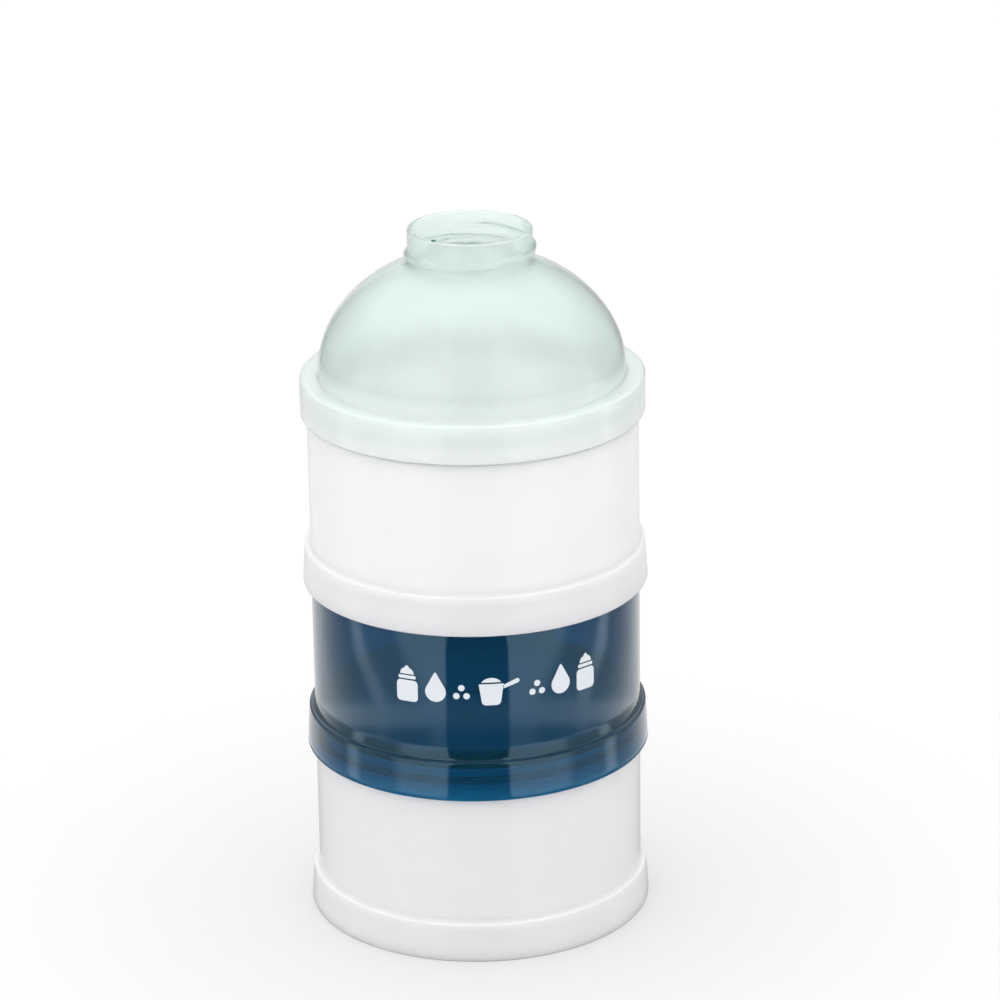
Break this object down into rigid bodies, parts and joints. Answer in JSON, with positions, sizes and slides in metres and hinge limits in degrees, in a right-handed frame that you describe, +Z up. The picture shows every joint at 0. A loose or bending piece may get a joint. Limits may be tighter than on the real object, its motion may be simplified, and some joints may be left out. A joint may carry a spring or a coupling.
{
  "type": "formula dispenser",
  "caption": "Stack of round powder cups that screw onto each other, closed by a dome lid with an open threaded pouring spout.",
  "frame": {"origin": "on the stack's axis, at the plane that the lowest cup's foot stands on", "axes": "+Z up along the stack's axis, +X to the right and -Y to the front, where the middle cup's print is"},
  "size_m": [0.09, 0.09, 0.1847],
  "materials": {
    "milky_plastic": "moulded milky white polypropylene, slightly translucent, satin gloss",
    "navy_plastic": "moulded translucent navy polypropylene, high gloss",
    "mint_plastic": "moulded translucent pale mint polypropylene, gloss",
    "silicone": "translucent food-grade silicone, smooth matt"
  },
  "bodies": {
    "lower_cup": {"cup_lower": "milky_plastic"},
    "lower_seal": {"seal_lower": "silicone"},
    "middle_cup": {"cup_middle": "navy_plastic"},
    "middle_seal": {"seal_middle": "silicone"},
    "upper_cup": {"cup_upper": "milky_plastic"},
    "upper_seal": {"seal_upper": "silicone"},
    "lid": {"dome_lid": "mint_plastic"}
  },
  "joints": [
    {"name": "lower_seal_lift", "type": "slide", "parent": "lower_cup", "child": "lower_seal", "axis": [0, 0, 1], "range_m": [0, 0.0081]},
    {"name": "middle_cup_unscrew", "type": "hinge", "parent": "lower_seal", "child": "middle_cup", "pos_m": [0, 0, 0.0453], "axis": [0, 0, 1], "range_deg": [0, 810]},
    {"name": "middle_seal_lift", "type": "slide", "parent": "middle_cup", "child": "middle_seal", "axis": [0, 0, 1], "range_m": [0, 0.0081]},
    {"name": "upper_cup_unscrew", "type": "hinge", "parent": "middle_seal", "child": "upper_cup", "pos_m": [0, 0, 0.0906], "axis": [0, 0, 1], "range_deg": [0, 810]},
    {"name": "upper_seal_lift", "type": "slide", "parent": "upper_cup", "child": "upper_seal", "axis": [0, 0, 1], "range_m": [0, 0.0081]},
    {"name": "lid_unscrew", "type": "hinge", "parent": "upper_seal", "child": "lid", "pos_m": [0, 0, 0.1359], "axis": [0, 0, 1], "range_deg": [0, 810]}
  ],
  "couplings": [
    {"joint": "lower_seal_lift", "follows": "middle_cup_unscrew", "m_per_rad": 0.00057296},
    {"joint": "middle_seal_lift", "follows": "upper_cup_unscrew", "m_per_rad": 0.00057296},
    {"joint": "upper_seal_lift", "follows": "lid_unscrew", "m_per_rad": 0.00057296}
  ]
}
